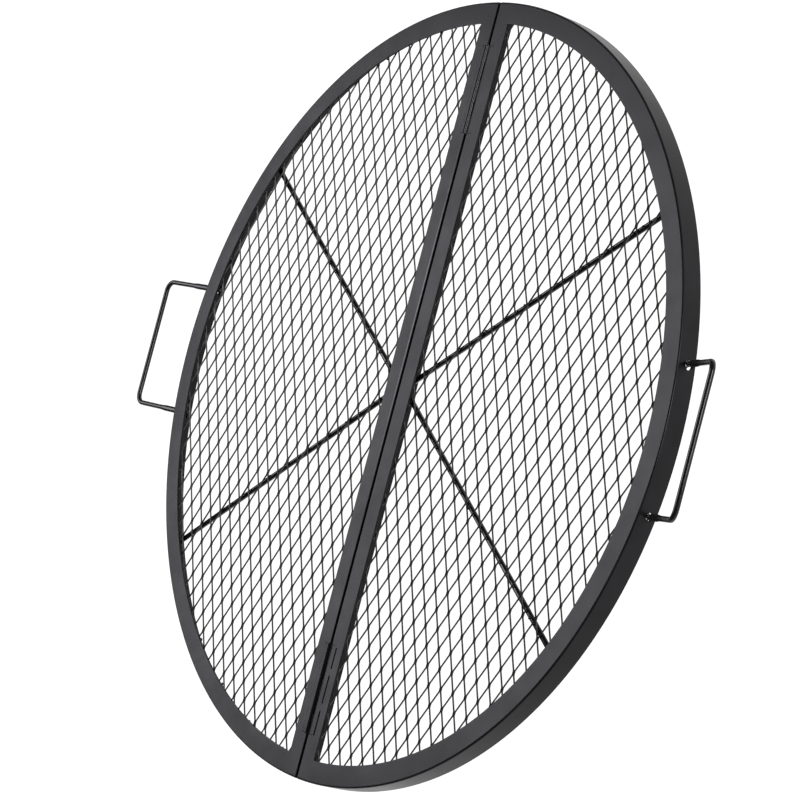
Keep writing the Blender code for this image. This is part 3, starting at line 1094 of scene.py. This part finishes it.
# %% The knuckles, the weld tacks and the pin's hole of a leaf
def add_knuckle(centre_y, length):
    deselect()
    bpy.ops.mesh.primitive_cylinder_add(
        vertices=BARREL_SIDES,
        radius=BARREL_RADIUS,
        depth=length,
        location=(HINGE_AXIS.x, centre_y, HINGE_AXIS.z),
        rotation=(math.pi / 2, 0, 0),
    )
    knuckle = start("knuckle")
    pick("FACE", lambda at: near(abs(at.y - centre_y), length / 2))
    bpy.ops.mesh.bevel(offset=LEAF_EDGE, segments=EDGE_SEGMENTS)
    return close_up(knuckle)


def add_knuckles(leaf, half, side, ends, leaf_start):
    """Every second knuckle of the barrel, each with the strap that carries it."""
    pitch = (ends[1] - ends[0]) / KNUCKLES
    strap_top = LEAF_TOP - STRAP_DROP[half]
    xs = sorted((0, side * (leaf_start + STRAP_OVERLAP)))
    for index in range(FIRST_KNUCKLE[half], KNUCKLES, 2):
        first = ends[0] + index * pitch + KNUCKLE_GAP / 2
        last = ends[0] + (index + 1) * pitch - KNUCKLE_GAP / 2
        strap = add_block("strap", (xs[0], first, LEAF_BOTTOM), (xs[1], last, strap_top))
        combine(leaf, strap, "UNION")
        knuckle = add_knuckle((first + last) / 2, last - first)
        combine(leaf, knuckle, "UNION")


def add_leaf_tacks(leaf, side, middle_y, tacks_end):
    """Tacks that bridge the slot between a leaf and the edge of its notch."""
    xs = sorted((side * (LEAF_REACH - LEAF_TACK_OVERLAP), side * (tacks_end + LEAF_TACK_BITE)))
    zs = (LEAF_BOTTOM + LEAF_EDGE, LEAF_TOP - LEAF_TACK_DROP)
    for place, length in LEAF_TACKS:
        y = middle_y + place
        tack = add_block("tack", (xs[0], y - length / 2, zs[0]), (xs[1], y + length / 2, zs[1]))
        combine(leaf, tack, "UNION")


def drill_bore(leaf, ends):
    begin = Vector((0, ends[0] - BORE_DRILL_SPARE, HINGE_AXIS.z))
    finish = Vector((0, ends[1] + BORE_DRILL_SPARE, HINGE_AXIS.z))
    combine(leaf, add_rod("drill", begin, finish, BORE_RADIUS, BARREL_SIDES), "DIFFERENCE")


# %% A whole leaf
def add_leaf_block(name, side, leaf_start, ends):
    xs = sorted((side * leaf_start, side * LEAF_REACH))
    leaf = add_block(name, (xs[0], ends[0], LEAF_BOTTOM), (xs[1], ends[1], LEAF_TOP))
    make_active(leaf)
    bpy.ops.object.mode_set(mode="EDIT")
    bpy.ops.mesh.select_all(action="SELECT")
    bpy.ops.mesh.bevel(offset=LEAF_EDGE, segments=EDGE_SEGMENTS)
    return close_up(leaf)


def make_leaf(half, side, end_name):
    node = f"{end_name}_hinge_{half}_leaf"
    low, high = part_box(node)
    ends = (low.y, high.y)
    leaf_start = LEAF_START[f"{end_name}_{half}"]
    side_gap = LEAF_SIDE_GAP[f"{end_name}_{half}"]
    leaf = add_leaf_block(f"{end_name}_{half}_hinge_leaf", side, leaf_start, ends)
    add_knuckles(leaf, half, side, ends, leaf_start)
    if side_gap > 0:
        add_leaf_tacks(leaf, side, (low.y + high.y) / 2, LEAF_REACH + side_gap)
    drill_bore(leaf, ends)
    make_active(leaf)
    shade_smooth(SMOOTH_ANGLE)
    flatten_shading(leaf)
    coat(leaf, coated_angle, BARREL_COATS[end_name])
    for face in leaf.data.polygons:
        offset = Vector((face.center.x - HINGE_AXIS.x, 0, face.center.z - HINGE_AXIS.z))
        face.material_index = int(offset.length < BARREL_RADIUS + CLOSE)
    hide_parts(node)
    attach(leaf, f"{half}_half")
    print(leaf.name, len(leaf.data.polygons), "faces")


# %% The pin with its two heads
def make_pin(end_name):
    node = f"{end_name}_hinge_pin"
    low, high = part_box(node)
    centre = (low + high) / 2
    length = high.y - low.y - 2 * PIN_HEAD_THICKNESS
    grow = PIN_HEAD_RADIUS / PIN_RADIUS
    deselect()
    bpy.ops.mesh.primitive_cylinder_add(
        vertices=BARREL_SIDES,
        radius=PIN_RADIUS,
        depth=length,
        location=centre,
        rotation=(math.pi / 2, 0, 0),
    )
    pin = start(f"{end_name}_headed_pin")
    for way in (-1, 1):
        end_y = centre.y + way * length / 2
        pick("FACE", lambda at: near(at.y, end_y))
        extrude((0, 0, 0))
        bpy.ops.transform.resize(
            value=(grow, 1, grow),
            center_override=(centre.x, end_y, centre.z),
        )
        extrude((0, way * PIN_HEAD_THICKNESS, 0))
        bpy.ops.mesh.bevel(offset=PIN_HEAD_EDGE, segments=PIN_HEAD_SEGMENTS)
    close_up(pin)
    coat(pin, BARREL_COATS[end_name])
    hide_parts(node)
    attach(pin, "left_half")


for end_name in ENDS:
    make_pin(end_name)
    for half, side in SIDES.items():
        make_leaf(half, side, end_name)

# %% [markdown]
# ## Wire handles
# A handle is one length of quarter-inch rod, bent to a U. Each arm passes loosely
# through a hole in the rim's wall and is pressed flat on both sides of it, so the ears
# keep it from sliding through. It is modelled as it was made: a disc is extruded into
# an arm, squeezed where the press was, spun round for a bend, and so on to the far end.

# %% Sizes of the handles
HANDLE_SIDES = 24
HANDLE_HALF_WIDTH = 80.4 * MM
HANDLE_REACH = 108.8 * MM + THICKNESS / 2
HANDLE_RAISED = {"left": math.radians(2.0), "right": math.radians(29.1)}
HANDLE_END_EDGE = 0.6 * MM
HANDLE_SMOOTH_ANGLE = 40
BEND_RADIUS = 12.0 * MM
BEND_STEPS = 9
ARM_END = -11.0 * MM
EAR_HALF_WIDTH = 6.6 * MM
EAR_HALF_THICKNESS = 1.2 * MM
# Where a pressed part begins, is fully pressed, is let go and ends, from the rim's wall.
INNER_EAR = (-10.6 * MM, -8.9 * MM, -6.4 * MM, -4.6 * MM)
OUTER_EAR = (4.6 * MM, 6.6 * MM, 9.6 * MM, 12.0 * MM)
GRIPPED_PART = (12.5 * MM, 16.0 * MM, 42.0 * MM, 54.0 * MM)
GRIPPED_SHARE = 0.2
EASING_STEPS = 5


# %% Stations along an arm
def ear_stations(ear, press, depth=1.0):
    """(distance from the wall, share pressed, press) through one ear, eased in and out."""
    begin, full, past, finish = ear
    stations = []
    for step in range(EASING_STEPS + 1):
        share = step / EASING_STEPS
        pressed = depth * (1 - math.cos(math.pi * share)) / 2
        stations.append((begin + share * (full - begin), pressed, press))
    for step in range(EASING_STEPS + 1):
        share = step / EASING_STEPS
        pressed = depth * (1 + math.cos(math.pi * share)) / 2
        stations.append((past + share * (finish - past), pressed, press))
    return stations


ARM_STATIONS = (
    ear_stations(INNER_EAR, "from above")
    + ear_stations(OUTER_EAR, "from the sides")
    + ear_stations(GRIPPED_PART, "from above", GRIPPED_SHARE)
)
print("each arm is pressed at", len(ARM_STATIONS), "stations")


# %% Bend a handle
def pressed_sizes(share, press):
    """Half sizes of the rod across and up, where it is pressed by that share."""
    round_half = ROD_DIAMETER / 2
    thin = round_half + share * (EAR_HALF_THICKNESS - round_half)
    wide = round_half + share * (EAR_HALF_WIDTH - round_half)
    return (wide, thin) if press == "from above" else (thin, wide)


def draw_arm(stations, pivot, side, y, position):
    """Extrudes the selected end through the stations, pressing it at each one."""
    across_was = up_was = ROD_DIAMETER / 2
    for distance, share, press in stations:
        step = side * (distance - position)
        extrude((step, 0, 0))
        position = distance
        across, up = pressed_sizes(share, press)
        bpy.ops.transform.resize(
            value=(1, across / across_was, up / up_was),
            center_override=(pivot.x + side * distance, y, pivot.z),
        )
        across_was = across
        up_was = up
    return position


def bend_rod(pivot, side):
    """Draws the selected disc out along one arm, round both bends and back to its level."""
    bend_start = HANDLE_REACH - BEND_RADIUS
    bend_y = HANDLE_HALF_WIDTH - BEND_RADIUS
    position = draw_arm(ARM_STATIONS, pivot, side, -HANDLE_HALF_WIDTH, ARM_END)
    extrude((side * (bend_start - position), 0, 0))
    for way in (-1, 1):
        spin(BEND_STEPS, side * math.pi / 2, (pivot.x + side * bend_start, way * bend_y, pivot.z))
        if way < 0:
            extrude((0, 2 * bend_y, 0))
    back = list(reversed(ARM_STATIONS))
    position = draw_arm(back, pivot, side, HANDLE_HALF_WIDTH, bend_start)
    extrude((side * (ARM_END - position), 0, 0))


# %% Make both handles
def make_handle(half, side):
    pivot = Vector(joints[f"{half}_handle_swing"]["pos_m"])
    arm_end_x = pivot.x + side * ARM_END
    deselect()
    bpy.ops.mesh.primitive_circle_add(
        vertices=HANDLE_SIDES,
        radius=ROD_DIAMETER / 2,
        fill_type="NGON",
        location=(arm_end_x, -HANDLE_HALF_WIDTH, pivot.z),
        rotation=(0, math.pi / 2, 0),
    )
    handle = start(f"{half}_wire_handle")
    bpy.ops.mesh.select_mode(type="FACE")
    bpy.ops.mesh.select_all(action="SELECT")
    bend_rod(pivot, side)
    pick("FACE", lambda at: near(at.x, arm_end_x))
    bpy.ops.mesh.bevel(offset=HANDLE_END_EDGE, segments=EDGE_SEGMENTS)
    bpy.ops.mesh.select_all(action="SELECT")
    turn = -side * HANDLE_RAISED[half]
    bpy.ops.transform.rotate(
        value=WINDOWLESS_TURN * turn,
        orient_axis="Y",
        center_override=pivot,
    )
    close_up(handle, HANDLE_SMOOTH_ANGLE)
    coat(handle, coated_rod)
    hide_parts(f"{half}_handle")
    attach(handle, f"{half}_grip")
    size = [round(length / MM, 1) for length in handle.dimensions]
    print(handle.name, "is", size, "mm")


for half, side in SIDES.items():
    make_handle(half, side)
